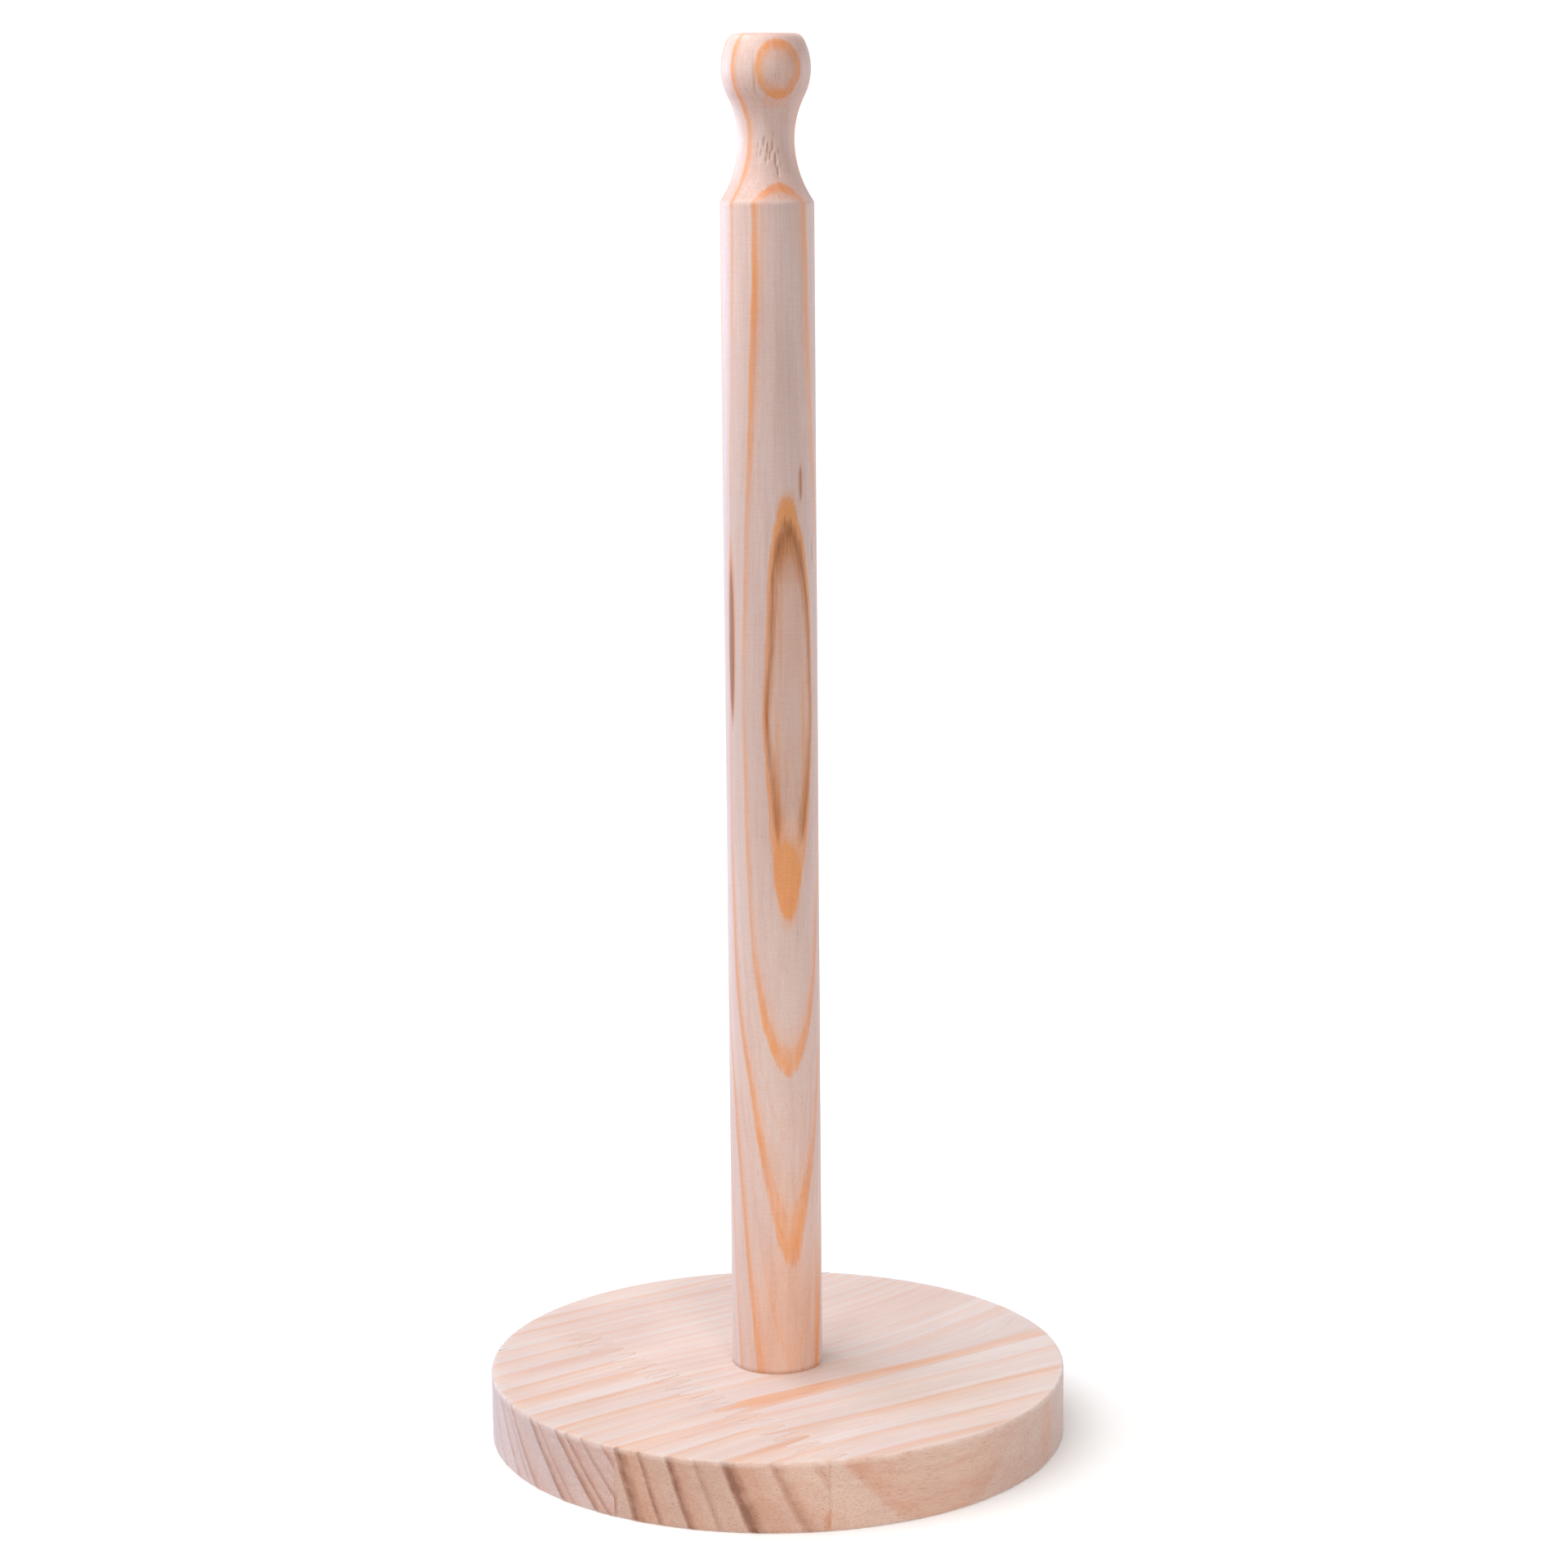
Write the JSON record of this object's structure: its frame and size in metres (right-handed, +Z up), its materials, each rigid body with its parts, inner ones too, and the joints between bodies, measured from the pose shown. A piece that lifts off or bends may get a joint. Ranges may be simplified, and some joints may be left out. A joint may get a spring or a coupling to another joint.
{
  "type": "paper towel holder",
  "caption": "Freestanding upright paper towel holder: a turned wooden post with a hollowed neck and rounded knob, standing on a round edge-glued pine base.",
  "frame": {"origin": "centre of the base's underside, on the surface it stands on", "axes": "+Z up along the post, -Y towards the viewer's side of the base, +X to the viewer's right"},
  "size_m": [0.14, 0.14, 0.3356],
  "materials": {
    "base_pine": "sanded, unvarnished",
    "post_pine": "turned and sanded, unvarnished",
    "screw_steel": "zinc plated, yellow passivated"
  },
  "bodies": {
    "root": {"base_stave_front_left": "base_pine", "base_stave_front_right": "base_pine", "base_stave_middle_left": "base_pine", "base_stave_middle_right": "base_pine", "base_stave_back": "base_pine", "post": "post_pine", "base_screw": "screw_steel"}
  },
  "joints": []
}
